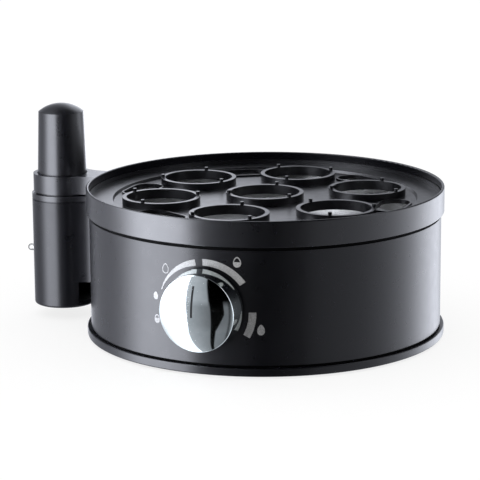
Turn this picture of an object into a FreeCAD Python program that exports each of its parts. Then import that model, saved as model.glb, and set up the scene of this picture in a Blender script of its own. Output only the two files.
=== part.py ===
"""Countertop egg boiler: a round housing with a boiling bowl and a lift-out tray for seven eggs,
a rotary control on the front, and a side tower that stores the egg pricker and carries the pilot lamp.

Frame: +Z up, origin on the housing axis in the plane of the foot, the knob faces -Y, the tower stands
at -X. Sizes are in millimetres.
"""
import FreeCAD, Part
import math
import os
import Sketcher
from FreeCAD import Placement, Rotation, Vector
from types import SimpleNamespace

SIZES = {
    # housing
    "wall_radius": 84.0,        # outside of the housing wall
    "wall_skin": 1.2,           # sheet thickness of the housing wall
    "wall_show": 54.25,         # height of wall between the base flange and the top ring
    "wall_cover": 1.2,          # top ring material above the wall's upper edge
    # foot and base plate
    "foot_stand": 1.0,          # how far the foot ring stands out below the base plate
    "foot_inset": 18.0,         # inner side of the foot ring's groove from the wall's outside
    "foot_width": 6.0,          # width of that groove
    "foot_sunk": 1.0,           # depth of that groove
    "slip": 0.1,                # radial play of pieces that are pushed together
    "floor_skin": 2.4,          # thickness of the base plate
    "flange_reach": 1.8,        # base flange beyond the wall
    "flange_height": 3.9,
    "flange_round": 0.6,
    "neck_inset": 0.8,          # shadow gap above the flange, depth
    "neck_height": 0.9,         # shadow gap above the flange, height
    "seam_height": 1.75,        # groove rolled into the wall under the top ring
    "seam_depth": 0.7,
    "seam_band": 0.4,           # thickness of the rubber bands in groove and gap
    "panel_half": 26.0,         # half of the opening that the rear panel fills
    "spigot_skin": 1.8,         # collar of the base plate inside the wall
    "spigot_height": 5.0,
    "vent_circle": 31.0,        # radius of the circle of air slots
    "vent_half": 6.0,           # half of the straight part of a slot
    "vent_end": 1.3,            # end radius of a slot
    # tie pillars between base plate and top ring
    "pillar_inset": 4.6,        # pillar axes from the wall's inside
    "pillar_radius": 4.4,
    "pillar_top": 52.0,
    "pillar_web": 3.0,          # material under the screw head
    "boss_radius": 3.2,
    "head_radius": 3.0,
    "head_height": 2.2,
    "shank_radius": 1.5,
    "shank_length": 10.0,
    "screw_play": 0.2,          # radial play of a screw in its clearance hole
    "thread_play": 0.02,        # radial play of a screw in its pilot hole
    # top ring
    "ring_reach": 1.4,          # top ring beyond the wall
    "ring_skin": 1.4,           # thickness of the rim above the shelf
    "ring_height": 11.95,
    "ring_round": 0.3,          # lower outer edge of the ring
    "shelf_play": 1.4,          # shelf's inner edge from the bowl's wall, room for the lugs
    "shelf_skin": 2.2,
    "skirt_skin": 1.5,          # skirt of the top ring inside the wall
    "skirt_drop": 6.0,
    # tray, bowl and seal
    "tray_depth": 5.7,          # tray margin below the rim
    "tray_skin": 1.2,
    "tray_lip": 2.1,            # upright lip round the tray
    "tray_lip_skin": 0.8,
    "tray_step": 1.3,           # recess of the egg floor below the margin
    "margin_width": 11.1,       # tray margin from its edge to the recessed egg floor
    "step_slope": 0.6,
    "lift": 0.3,                # play round a piece that lifts out or turns
    "seat_inset": 22.6,         # circle of seats from the egg floor's edge
    "seat_radius": 16.5,
    "seat_collar": 2.0,         # wall of the collar round a seat
    "seat_height": 3.3,         # collar above the egg floor
    "nub_radius": 0.9,
    "nub_height": 1.5,          # nub above the collar
    "port_inset": 9.8,          # circle of steam ports from the egg floor's edge
    "port_web": 1.8,            # least material between a port and the seats beside it
    "port_end": 6.8,            # end radius of a port
    "port_lip": 1.0,
    "port_lip_height": 0.8,
    "bowl_play": 0.6,           # bowl's wall round the tray's recess
    "bowl_draft": 2.8,          # how much narrower the bowl is at its floor
    "bowl_depth": 15.6,
    "bowl_skin": 0.8,
    "bowl_round": 2.5,          # inner radius between the bowl's wall and floor
    "seal_height": 0.8,
    "tab_half": 5.0,
    "tab_reach": 3.0,           # lug under the shelf
    # heater
    "spreader_radius": 52.0,
    "spreader_skin": 2.0,
    "element_circle": 42.0,
    "element_radius": 3.3,
    "element_sweep": 300.0,     # degrees of a full turn
    "element_drop": 12.0,       # length of the two vertical ends
    "pin_radius": 1.2,
    "pin_length": 8.0,
    "thermostat_radius": 8.2,
    "thermostat_cap": 2.5,
    "thermostat_body": 6.9,
    "thermostat_inset": 0.8,    # body inside the rim of its cap
    "blade_length": 7.0,
    "blade_wide": 6.4,
    "blade_skin": 0.8,
    "blade_spread": 6.0,        # blade from the thermostat's axis
    "strap_reach": 24.0,        # half length of the thermostat's strap
    "strap_width": 19.0,
    "strap_skin": 1.0,
    "stud_spread": 20.0,
    "stud_radius": 1.5,
    "nut_radius": 3.0,
    "nut_height": 2.4,
    "fuse_radius": 2.0,
    "fuse_half": 7.0,
    "fuse_lead": 6.0,
    "fuse_lead_radius": 0.5,
    "fuse_offset": 24.0,
    # rotary control
    "knob_height": 31.0,
    "plate_radius": 18.0,       # round plate behind the knob
    "plate_front": 1.5,         # its front face from the wall's outermost line
    "knob_gap": 0.7,            # knob from the plate
    "knob_back_radius": 18.8,
    "knob_radius": 17.6,        # at the front edge of the side
    "cap_height": 7.6,          # side of the cap
    "cap_dome": 6.2,
    "cap_skin": 1.2,
    "cap_round": 0.8,
    "pointer_width": 0.95,
    "pointer_reach": 13.4,
    "pointer_tail": 0.2,
    "pointer_sunk": 0.15,       # pointer's face below the cap's face
    "shaft_radius": 3.0,
    "run_play": 0.05,           # radial play of the shaft in its bush
    "shaft_flat": 2.0,          # flat of the shaft from its axis
    "bush_radius": 4.9,
    "hex_flat": 14.0,           # across the flats of the bush nut
    "hex_height": 2.5,
    "control_depth": 12.0,
    "control_width": 26.0,
    "control_height": 24.0,
    "saddle_skin": 4.8,         # saddle from the wall's inside to the control
    "board_skin": 1.6,
    "board_half": 30.0,
    "board_low": 8.0,
    "board_top": 45.0,
    "buzzer_radius": 6.0,
    "buzzer_height": 7.0,
    "buzzer_hole": 1.0,
    "buzzer_inset": 13.0,       # buzzer's middle from the board's side edge
    "buzzer_raise": 27.0,       # and from its lower edge
    # mains side
    "gland_height": 20.0,
    "gland_bore": 3.5,
    "gland_neck": 6.0,
    "gland_hook": 0.9,          # barb of the gland behind the wall
    "gland_flange": 8.5,
    "gland_reach": 2.2,         # outside flange from the wall
    "gland_depth": 8.0,         # gland inwards from the wall's outermost line
    "block_inset": 28.8,        # terminal block's middle from the wall's inside
    "block_half": 17.0,
    "block_deep": 14.0,
    "block_tall": 11.0,
    "block_post": 4.6,          # height of the posts under the terminal block
    "wire_radius": 1.1,
    # side tower
    "tower_stand": 21.6,        # tower axis from the housing wall
    "tube_radius": 15.1,
    "tube_skin": 1.6,
    "tube_bottom": 6.0,
    "tube_top": 62.0,
    "tube_round": 1.2,
    "groove_height": 59.1,
    "groove_tall": 0.6,
    "groove_deep": 0.5,
    "web_half": 8.5,            # half width of the web where it meets the housing
    "web_root": 9.5,            # where the web's hollow sides leave the tower, from its axis
    "web_bottom": 19.0,
    "notch_half": 9.6,          # half width of the opening under the web
    "notch_sill": 3.0,          # rim of the tube left below that opening
    "collar_radius": 14.25,
    "collar_top": 71.7,
    "collar_gap": 0.9,          # shadow gap between tube and collar
    "gap_deep": 1.1,            # its depth below the collar's outside
    "spigot_drop": 6.0,
    "ledge_skin": 1.4,
    "plug_skin": 2.0,
    # egg pricker
    "grip_radius": 12.0,
    "grip_top_radius": 11.0,
    "grip_top": 102.0,
    "grip_skin": 1.6,
    "dome_height": 4.0,
    "needle_radius": 0.6,
    "needle_length": 15.0,
    # pilot lamp
    "lens_height": 32.6,
    "lens_radius": 1.7,
    "lens_reach": 4.4,          # lens beyond the tube
    "lead_height": 39.0,        # height of the lead's hole through the wall
    "lead_hole": 2.0,
}

DOC = FreeCAD.newDocument("egg_boiler")
SHEET = DOC.addObject("Spreadsheet::Sheet", "sizes")
NODES = []
CUTS = []


class Size:
    """A length or angle together with the sheet expression that drives it."""

    def __init__(self, value, text=None):
        self.value = float(value)
        self.text = text or repr(float(value))

    def __add__(self, other):
        return joined(self, other, "+", self.value + number(other))

    def __radd__(self, other):
        return joined(other, self, "+", number(other) + self.value)

    def __sub__(self, other):
        return joined(self, other, "-", self.value - number(other))

    def __rsub__(self, other):
        return joined(other, self, "-", number(other) - self.value)

    def __mul__(self, other):
        return joined(self, other, "*", self.value * number(other))

    def __rmul__(self, other):
        return joined(other, self, "*", number(other) * self.value)

    def __truediv__(self, other):
        return joined(self, other, "/", self.value / number(other))

    def __neg__(self):
        return joined(0, self, "-", -self.value)


def number(size):
    return size.value if isinstance(size, Size) else float(size)


def text(size):
    return size.text if isinstance(size, Size) else repr(float(size))


def joined(first, second, sign, value):
    return Size(value, f"({text(first)} {sign} {text(second)})")


def square_root(size):
    return Size(math.sqrt(size.value), f"sqrt({size.text})")


def fill_sheet():
    """Write every size into the sheet and return the sizes by name."""
    sizes = {}
    for row, (name, value) in enumerate(SIZES.items(), start=1):
        SHEET.set(f"A{row}", name)
        SHEET.set(f"B{row}", str(value))
        SHEET.setAlias(f"B{row}", name)
        sizes[name] = Size(value, f"sizes.{name}")
    DOC.recompute()
    return sizes


S = SimpleNamespace(**fill_sheet())


# ---------------------------------------------------------------- modelling helpers

def bind(thing, path, size):
    """Drive one property of an object from the sheet."""
    thing.setExpression(path, text(size))


def new_body(label):
    body = DOC.addObject("PartDesign::Body", label)
    body.Label = label
    return body


def origin_part(body, role):
    return next(part for part in body.Origin.OriginFeatures if part.Role == role)


def new_sketch(body, plane, level):
    """An empty sketch parallel to an origin plane, moved along that plane's normal."""
    sketch = body.newObject("Sketcher::SketchObject", f"{body.Name}_sketch")
    sketch.AttachmentSupport = (origin_part(body, plane), [""])
    sketch.MapMode = "FlatFace"
    bind(sketch, "AttachmentOffset.Base.z", level)
    return sketch


def fix(sketch, kind, places, size):
    """Add a named dimension and drive it from the sheet."""
    index = sketch.addConstraint(Sketcher.Constraint(kind, *places, number(size)))
    name = f"{kind.lower()}_{index}"
    sketch.renameConstraint(index, name)
    bind(sketch, f"Constraints.{name}", size)


def fix_point(sketch, geometry, end, x, y):
    fix(sketch, "DistanceX", (-1, 1, geometry, end), x)
    fix(sketch, "DistanceY", (-1, 1, geometry, end), y)


def flat(x, y):
    return Vector(number(x), number(y), 0)


def arc_through(start, end, radius, side):
    """Arc between two points; side +1 puts its centre on the left of start to end, -1 on the right."""
    chord = end - start
    middle = (start + end) / 2
    normal = Vector(-chord.y, chord.x, 0).normalize()
    reach = math.sqrt(max(radius ** 2 - (chord.Length / 2) ** 2, 0))
    centre = middle + normal * (side * reach)
    first, last = (start, end) if side > 0 else (end, start)
    angles = [math.atan2(point.y - centre.y, point.x - centre.x) for point in (first, last)]
    return Part.ArcOfCircle(Part.Circle(centre, Vector(0, 0, 1), radius), *angles)


def draw_outline(sketch, corners):
    """Closed outline. A corner is (x, y), or (x, y, radius, side) where an arc leads to the next one."""
    ends = []
    for index, corner in enumerate(corners):
        following = corners[(index + 1) % len(corners)]
        start, end = flat(*corner[:2]), flat(*following[:2])
        if len(corner) == 2:
            geometry = sketch.addGeometry(Part.LineSegment(start, end), False)
            ends.append((geometry, 1, 2))
        else:
            radius, side = corner[2:]
            geometry = sketch.addGeometry(arc_through(start, end, number(radius), side), False)
            ends.append((geometry, 1, 2) if side > 0 else (geometry, 2, 1))
    for index, (geometry, start, end) in enumerate(ends):
        following, following_start, _ = ends[(index + 1) % len(ends)]
        sketch.addConstraint(Sketcher.Constraint("Coincident", geometry, end, following, following_start))
    for index, (geometry, start, end) in enumerate(ends):
        fix_point(sketch, geometry, start, *corners[index][:2])
        if len(corners[index]) > 2:
            fix(sketch, "Radius", (geometry,), corners[index][2])


def draw_circle(sketch, x, y, radius):
    circle = Part.Circle(flat(x, y), Vector(0, 0, 1), number(radius))
    geometry = sketch.addGeometry(circle, False)
    fix_point(sketch, geometry, 3, x, y)
    fix(sketch, "Radius", (geometry,), radius)


def draw_rectangle(sketch, left, low, right, high):
    draw_outline(sketch, [(left, low), (right, low), (right, high), (left, high)])


def draw_slot(sketch, x, y, half, radius):
    """Slot with round ends, its straight sides along the sketch's vertical axis."""
    centre_x, centre_y, run, end = (number(size) for size in (x, y, half, radius))
    up = Vector(0, 0, 1)
    upper = Part.Circle(Vector(centre_x, centre_y + run, 0), up, end)
    lower = Part.Circle(Vector(centre_x, centre_y - run, 0), up, end)
    corners = [Vector(centre_x + sx * end, centre_y + sy * run, 0) for sx, sy in
               ((1, -1), (1, 1), (-1, 1), (-1, -1))]
    right = sketch.addGeometry(Part.LineSegment(corners[0], corners[1]), False)
    top = sketch.addGeometry(Part.ArcOfCircle(upper, 0, math.pi), False)
    left = sketch.addGeometry(Part.LineSegment(corners[2], corners[3]), False)
    bottom = sketch.addGeometry(Part.ArcOfCircle(lower, math.pi, 2 * math.pi), False)
    for pair in ((right, 2, top, 1), (top, 2, left, 1), (left, 2, bottom, 1), (bottom, 2, right, 1)):
        sketch.addConstraint(Sketcher.Constraint("Tangent", *pair))
    sketch.addConstraint(Sketcher.Constraint("Equal", top, bottom))
    fix(sketch, "Radius", (top,), radius)
    fix_point(sketch, top, 3, x, y + half)
    fix_point(sketch, bottom, 3, x, y - half)


def turn(body, corners):
    """Revolve an outline of (radius, height) corners about the body's own Z axis."""
    sketch = new_sketch(body, "XZ_Plane", 0)
    draw_outline(sketch, corners)
    feature = body.newObject("PartDesign::Revolution", f"{body.Name}_turned")
    feature.Profile = sketch
    feature.ReferenceAxis = (sketch, ["V_Axis"])
    feature.Angle = 360
    return feature


def dome(radius, rise):
    """Radius of the arc that rises by rise from a circle of the given radius to the axis."""
    return (radius * radius + rise * rise) / (2 * rise)


def pad(body, draw, low, high):
    """Add material between two levels, over what draw puts into the sketch."""
    sketch = new_sketch(body, "XY_Plane", low)
    draw(sketch)
    feature = body.newObject("PartDesign::Pad", f"{body.Name}_pad")
    feature.Profile = sketch
    bind(feature, "Length", high - low)
    return feature


def cut(body, draw, top, depth, plane="XY_Plane"):
    """Remove material from a level downwards, against the plane's normal."""
    sketch = new_sketch(body, plane, top)
    draw(sketch)
    feature = body.newObject("PartDesign::Pocket", f"{body.Name}_cut")
    feature.Profile = sketch
    bind(feature, "Length", depth)
    CUTS.append(feature)
    return feature


def repeat(body, features, count):
    """Repeat features evenly round the body's own Z axis."""
    pattern = body.newObject("PartDesign::PolarPattern", f"{body.Name}_pattern")
    pattern.Originals = features
    pattern.Axis = (origin_part(body, "Z_Axis"), [""])
    pattern.Angle = 360
    pattern.Occurrences = count
    body.Tip = pattern
    return pattern


def round_rims(body, radius, *rims):
    """Fillet the circular edges given as (radius, height) about the body's own Z axis."""
    DOC.recompute()
    base = body.Tip
    wanted = [(number(rim), number(height)) for rim, height in rims]
    names = []
    for index, edge in enumerate(base.Shape.Edges, start=1):
        if edge.Degenerated or edge.Curve.TypeId != "Part::GeomCircle":
            continue
        found = (edge.Curve.Radius, edge.Curve.Center.z)
        if abs(edge.Curve.Axis.z) > 0.99 and any(math.dist(found, rim) < 0.01 for rim in wanted):
            names.append(f"Edge{index}")
    feature = body.newObject("PartDesign::Fillet", f"{body.Name}_rounds")
    feature.Base = (base, names)
    bind(feature, "Radius", radius)
    return feature


def place(thing, x=0, y=0, z=0, rotation=Rotation()):
    thing.Placement = Placement(Vector(number(x), number(y), number(z)), rotation)
    for axis, size in (("x", x), ("y", y), ("z", z)):
        if isinstance(size, Size):
            bind(thing, f"Placement.Base.{axis}", size)
    return thing


def keep(thing, label):
    """Name a finished sub-part and put it on the list of nodes."""
    thing.Label = label
    NODES.append(thing)
    return thing


def screw(body, x, y, seat, head, shank, length):
    """Pan-head screw that points up, its head under the level seat."""
    grown = pad(body, lambda sketch: draw_circle(sketch, x, y, head), seat - S.head_height, seat)
    pin = pad(body, lambda sketch: draw_circle(sketch, x, y, shank), seat, seat + length)
    return [grown, pin]


TO_FRONT = Rotation(Vector(1, 0, 0), 90)        # local Z points to -Y, local Y stays upright
TO_BACK = Rotation(Vector(1, 0, 0), -90)        # local Z points to +Y
TO_TOWER_SIDE = Rotation(Vector(0, 1, 0), -90)  # local Z points to -X

# ---------------------------------------------------------------- levels and radii that several pieces share

FLOOR_LOW = S.foot_stand
FLOOR_TOP = FLOOR_LOW + S.floor_skin
FLANGE_TOP = FLOOR_LOW + S.flange_height
WALL_LOW = FLANGE_TOP + S.neck_height
RING_LOW = WALL_LOW + S.wall_show
RIM = RING_LOW + S.ring_height
SEAM_BOTTOM = S.wall_radius - S.seam_depth
MARGIN = RIM - S.tray_depth
EGG_FLOOR = MARGIN - S.tray_step
BOWL_RIM = MARGIN - S.tray_skin - S.lift
SEAL_TOP = BOWL_RIM - S.bowl_skin
SHELF = SEAL_TOP - S.seal_height
SHELF_LOW = SHELF - S.shelf_skin
WALL_TOP = SHELF - S.wall_cover
BOWL_FLOOR = BOWL_RIM - S.bowl_depth
SPREADER_TOP = BOWL_FLOOR - S.bowl_skin
SPREADER_LOW = SPREADER_TOP - S.spreader_skin
ELEMENT_LEVEL = SPREADER_LOW - S.element_radius

WALL_INSIDE = S.wall_radius - S.wall_skin
RING_RADIUS = S.wall_radius + S.ring_reach
RING_INSIDE = RING_RADIUS - S.ring_skin
FOOT_INNER = S.wall_radius - S.foot_inset
TRAY_RADIUS = RING_INSIDE - S.lift
STEP_RADIUS = TRAY_RADIUS - S.margin_width
UNDER_STEP = STEP_RADIUS - S.step_slope + S.tray_skin
SEAT_CIRCLE = STEP_RADIUS - S.seat_inset
PORT_CIRCLE = STEP_RADIUS - S.port_inset
SEAT_WALL = S.seat_radius + S.seat_collar
# a port lies midway between two seats, 30 degrees of the circle from each
SEAT_TO_PORT = square_root(SEAT_CIRCLE * SEAT_CIRCLE + PORT_CIRCLE * PORT_CIRCLE
                           - math.sqrt(3) * SEAT_CIRCLE * PORT_CIRCLE)
PORT_HALF = SEAT_TO_PORT - S.seat_radius - S.port_end - S.port_web
BOWL_TOP = UNDER_STEP + S.bowl_play
BOWL_BOTTOM = BOWL_TOP - S.bowl_draft
SHELF_INNER = BOWL_TOP + S.bowl_skin + S.shelf_play
SCREW_SEAT = S.pillar_top - S.pillar_web
PILLAR_SIDE = (WALL_INSIDE - S.pillar_inset) / math.sqrt(2)
SCREW_HOLE = S.shank_radius + S.screw_play
PILOT_HOLE = S.shank_radius + S.thread_play

PLATE_FRONT = S.wall_radius + S.plate_front
CAP_BACK = PLATE_FRONT + S.knob_gap
CAP_EDGE = CAP_BACK + S.cap_height
CAP_FRONT = CAP_EDGE + S.cap_dome
CAP_INSIDE = S.knob_radius - S.cap_skin
CORE_EDGE = CAP_EDGE - S.cap_skin - S.slip
CORE_RADIUS = CAP_INSIDE - S.slip
CONTROL_FRONT = WALL_INSIDE - S.saddle_skin
CONTROL_BACK = CONTROL_FRONT - S.control_depth
BOARD_BACK = CONTROL_BACK - S.board_skin
SHAFT_BACK = CONTROL_BACK + S.lift + 4
SHAFT_FRONT = CORE_EDGE + 2.4
NUT_FRONT = PLATE_FRONT + S.hex_height
HUB_BACK = NUT_FRONT + 1.2

TOWER_OFFSET = S.wall_radius + S.tower_stand
TUBE_INSIDE = S.tube_radius - S.tube_skin
SPIGOT_RADIUS = TUBE_INSIDE - S.slip
COLLAR_BORE = S.grip_radius + S.lift
COLLAR_LOW = S.tube_top - S.spigot_drop
LEDGE_TOP = COLLAR_LOW + S.ledge_skin
GRIP_LOW = LEDGE_TOP + S.lift
GRIP_INSIDE = S.grip_radius - S.grip_skin
HOLDER_TOP = GRIP_LOW + 4
TOWER_SCREWS = (27.0, 50.0)
WEB_OVERRUN = 4.0
LAMP_BACK = TUBE_INSIDE - 6.4

EARTH_LOW = SPREADER_LOW - 5
BLOCK_LOW = FLOOR_TOP + S.block_post
BLOCK_TOP = BLOCK_LOW + S.block_tall
BLOCK_PLACE = WALL_INSIDE - S.block_inset
BLOCK_FRONT = BLOCK_PLACE - S.block_deep / 2
POLES = (-9, 0, 9)
LUG_PLACE = S.block_half - 3


# ---------------------------------------------------------------- housing

def make_foot_ring():
    inner = FOOT_INNER + S.slip
    outer = FOOT_INNER + S.foot_width - S.slip
    top = S.foot_stand + S.foot_sunk
    body = new_body("foot_ring")
    turn(body, [(inner, 0), (outer, 0), (outer, top), (inner, top)])
    keep(body, "foot_ring")


def make_base_plate():
    body = new_body("base_plate")
    flange = S.wall_radius + S.flange_reach
    neck = S.wall_radius - S.neck_inset
    spigot = WALL_INSIDE - S.slip
    groove_outer = FOOT_INNER + S.foot_width
    groove_top = FLOOR_LOW + S.foot_sunk
    turn(body, [
        (0, FLOOR_LOW), (FOOT_INNER, FLOOR_LOW), (FOOT_INNER, groove_top),
        (groove_outer, groove_top), (groove_outer, FLOOR_LOW), (flange, FLOOR_LOW),
        (flange, FLANGE_TOP), (neck, FLANGE_TOP), (neck, WALL_LOW), (spigot, WALL_LOW),
        (spigot, WALL_LOW + S.spigot_height), (spigot - S.spigot_skin, WALL_LOW + S.spigot_height),
        (spigot - S.spigot_skin, FLOOR_TOP), (0, FLOOR_TOP)])
    round_rims(body, S.flange_round, (flange, FLOOR_LOW), (flange, FLANGE_TOP))
    pillar = pad(body, lambda sketch: draw_circle(sketch, PILLAR_SIDE, PILLAR_SIDE, S.pillar_radius),
                 FLOOR_TOP, S.pillar_top)
    repeat(body, [pillar], 4)
    well = cut(body, lambda sketch: draw_circle(sketch, PILLAR_SIDE, PILLAR_SIDE,
                                                S.head_radius + S.screw_play),
               SCREW_SEAT, SCREW_SEAT)
    hole = cut(body, lambda sketch: draw_circle(sketch, PILLAR_SIDE, PILLAR_SIDE, SCREW_HOLE),
               S.pillar_top, S.pillar_web)
    repeat(body, [well, hole], 4)
    vent = cut(body, lambda sketch: draw_slot(sketch, S.vent_circle, 0, S.vent_half, S.vent_end),
               FLOOR_TOP, S.floor_skin)
    repeat(body, [vent], 8)
    add_board_guides(body)
    add_block_posts(body)
    keep(body, "base_plate")


def add_board_guides(body):
    """Two slotted posts that hold the lower corners of the control board."""
    def posts(sketch):
        for side in (-1, 1):
            near, far = side * (S.board_half - 7), side * (S.board_half + 1)
            draw_rectangle(sketch, near, -CONTROL_BACK - 3, far, -BOARD_BACK + 3)

    def slots(sketch):
        for side in (-1, 1):
            near, far = side * (S.board_half - 8), side * (S.board_half + S.slip)
            draw_rectangle(sketch, near, -CONTROL_BACK - S.slip, far, -BOARD_BACK + S.slip)

    pad(body, posts, FLOOR_TOP, S.board_low + 6)
    cut(body, slots, S.board_low + 6, 6)


def add_block_posts(body):
    """Two posts with pilot holes under the terminal block."""
    def circles(radius):
        def draw(sketch):
            for side in (-1, 1):
                draw_circle(sketch, side * LUG_PLACE, BLOCK_PLACE, radius)
        return draw

    pad(body, circles(S.boss_radius), FLOOR_TOP, FLOOR_TOP + S.block_post)
    cut(body, circles(PILOT_HOLE), FLOOR_TOP + S.block_post, S.block_post)


def make_base_screws():
    body = new_body("base_screws")
    repeat(body, screw(body, PILLAR_SIDE, PILLAR_SIDE, SCREW_SEAT, S.head_radius, S.shank_radius,
                       S.shank_length), 4)
    keep(body, "base_screws")


def cut_seam(body):
    """Groove round the outside of the wall, under the top ring."""
    def rings(sketch):
        draw_circle(sketch, 0, 0, S.wall_radius + S.wall_skin)
        draw_circle(sketch, 0, 0, SEAM_BOTTOM)

    cut(body, rings, RING_LOW, S.seam_height)


def make_housing_wall():
    body = new_body("housing_wall")
    turn(body, [(WALL_INSIDE, WALL_LOW), (S.wall_radius, WALL_LOW), (S.wall_radius, WALL_TOP),
                (WALL_INSIDE, WALL_TOP)])
    clear = S.wall_skin * 3
    cut_seam(body)
    cut(body, lambda sketch: draw_circle(sketch, 0, S.knob_height, S.bush_radius + S.screw_play),
        S.wall_radius + S.wall_skin, clear, "XZ_Plane")
    cut(body, lambda sketch: draw_rectangle(sketch, -S.panel_half, WALL_INSIDE - S.panel_half,
                                            S.panel_half, S.wall_radius + S.wall_skin),
        WALL_TOP, WALL_TOP - WALL_LOW)

    def tower_holes(sketch):
        for level in TOWER_SCREWS:
            draw_circle(sketch, 0, level, SCREW_HOLE)
        draw_circle(sketch, 0, S.lead_height, S.lead_hole)

    cut(body, tower_holes, -(WALL_INSIDE - S.wall_skin), clear, "YZ_Plane")
    keep(body, "housing_wall")


def make_rear_panel():
    """Rear part of the wall, with the hole for the cord gland."""
    body = new_body("rear_panel")
    half = S.panel_half - S.slip
    outer = square_root(S.wall_radius * S.wall_radius - half * half)
    inner = square_root(WALL_INSIDE * WALL_INSIDE - half * half)
    pad(body, lambda sketch: draw_outline(sketch, [
        (half, inner), (half, outer, S.wall_radius, 1), (-half, outer), (-half, inner, WALL_INSIDE, -1)]),
        WALL_LOW, WALL_TOP)
    cut_seam(body)
    cut(body, lambda sketch: draw_circle(sketch, 0, S.gland_height, S.gland_neck + S.slip),
        -(WALL_INSIDE - S.wall_skin), S.wall_skin * 3, "XZ_Plane")
    keep(body, "rear_panel")


def make_seam_bands():
    """Rubber bands that close the groove under the top ring and the gap above the base flange."""
    for label, inside, low, top in (
            ("ring_band", SEAM_BOTTOM, RING_LOW - S.seam_height, RING_LOW),
            ("base_band", S.wall_radius - S.neck_inset, FLANGE_TOP, WALL_LOW)):
        body = new_body(label)
        inner, outer = inside + S.thread_play, inside + S.seam_band
        turn(body, [(inner, low), (outer, low), (outer, top), (inner, top)])
        keep(body, label)


def make_top_ring():
    body = new_body("top_ring")
    slot_outer = S.wall_radius + S.slip
    slot_inner = WALL_INSIDE - S.slip
    skirt_inner = slot_inner - S.skirt_skin
    skirt_low = SHELF_LOW - S.skirt_drop
    turn(body, [
        (RING_RADIUS, RING_LOW), (RING_RADIUS, RIM), (RING_INSIDE, RIM), (RING_INSIDE, SHELF),
        (SHELF_INNER, SHELF), (SHELF_INNER, SHELF_LOW), (skirt_inner, SHELF_LOW),
        (skirt_inner, skirt_low), (slot_inner, skirt_low), (slot_inner, WALL_TOP),
        (slot_outer, WALL_TOP), (slot_outer, RING_LOW)])
    round_rims(body, S.ring_skin * 0.45, (RING_RADIUS, RIM), (RING_INSIDE, RIM))
    round_rims(body, S.ring_round, (RING_RADIUS, RING_LOW))
    boss = pad(body, lambda sketch: draw_circle(sketch, PILLAR_SIDE, PILLAR_SIDE, S.boss_radius),
               S.pillar_top, SHELF_LOW + 1)
    repeat(body, [boss], 4)
    hole = cut(body, lambda sketch: draw_circle(sketch, PILLAR_SIDE, PILLAR_SIDE, PILOT_HOLE),
               S.pillar_top + S.shank_length, S.shank_length)
    repeat(body, [hole], 4)
    keep(body, "top_ring")


# ---------------------------------------------------------------- tray, bowl and heater

def make_egg_tray():
    body = new_body("egg_tray")
    lip_inside = TRAY_RADIUS - S.tray_lip_skin
    turn(body, [
        (0, EGG_FLOOR - S.tray_skin), (UNDER_STEP, EGG_FLOOR - S.tray_skin),
        (UNDER_STEP, MARGIN - S.tray_skin), (TRAY_RADIUS, MARGIN - S.tray_skin),
        (TRAY_RADIUS, MARGIN + S.tray_lip), (lip_inside, MARGIN + S.tray_lip), (lip_inside, MARGIN),
        (STEP_RADIUS, MARGIN), (STEP_RADIUS - S.step_slope, EGG_FLOOR), (0, EGG_FLOOR)])
    collar_top = EGG_FLOOR + S.seat_height
    nub_ring = S.seat_radius + S.seat_collar / 2

    def nubs(centre, angles):
        def draw(sketch):
            for angle in angles:
                turned = math.radians(angle)
                draw_circle(sketch, nub_ring * math.sin(turned), centre + nub_ring * math.cos(turned),
                            S.nub_radius)
        return draw

    collar = pad(body, lambda sketch: draw_circle(sketch, 0, SEAT_CIRCLE, SEAT_WALL),
                 EGG_FLOOR, collar_top)
    nub = pad(body, nubs(SEAT_CIRCLE, (-52, 52, 180)), EGG_FLOOR, collar_top + S.nub_height)
    lip = pad(body, lambda sketch: draw_slot(sketch, PORT_CIRCLE, 0, PORT_HALF,
                                             S.port_end + S.port_lip),
              EGG_FLOOR, EGG_FLOOR + S.port_lip_height)
    repeat(body, [collar, nub, lip], 6)
    pad(body, lambda sketch: draw_circle(sketch, 0, 0, SEAT_WALL), EGG_FLOOR, collar_top)
    pad(body, nubs(0, (0, 120, 240)), EGG_FLOOR, collar_top + S.nub_height)
    through = S.seat_height + S.nub_height + S.tray_skin
    seat = cut(body, lambda sketch: draw_circle(sketch, 0, SEAT_CIRCLE, S.seat_radius),
               collar_top + S.nub_height, through)
    port = cut(body, lambda sketch: draw_slot(sketch, PORT_CIRCLE, 0, PORT_HALF, S.port_end),
               collar_top, through)
    repeat(body, [seat, port], 6)
    cut(body, lambda sketch: draw_circle(sketch, 0, 0, S.seat_radius),
        collar_top + S.nub_height, through)
    keep(body, "egg_tray")


def make_bowl_seal():
    body = new_body("bowl_seal")
    inner = SHELF_INNER + S.lift
    outer = TRAY_RADIUS - S.lift
    turn(body, [(inner, SHELF), (outer, SHELF), (outer, SEAL_TOP), (inner, SEAL_TOP)])
    keep(body, "bowl_seal")


def make_heating_bowl():
    body = new_body("heating_bowl")
    flange = TRAY_RADIUS - S.lift
    turn(body, [
        (flange, SEAL_TOP), (flange, BOWL_RIM), (BOWL_TOP, BOWL_RIM),
        (BOWL_BOTTOM, BOWL_FLOOR), (0, BOWL_FLOOR), (0, SPREADER_TOP),
        (BOWL_BOTTOM + S.bowl_skin, SPREADER_TOP), (BOWL_TOP + S.bowl_skin, SEAL_TOP)])
    round_rims(body, S.bowl_round, (BOWL_BOTTOM, BOWL_FLOOR))
    round_rims(body, S.bowl_round + S.bowl_skin, (BOWL_BOTTOM + S.bowl_skin, SPREADER_TOP))
    keep(body, "heating_bowl")


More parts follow.
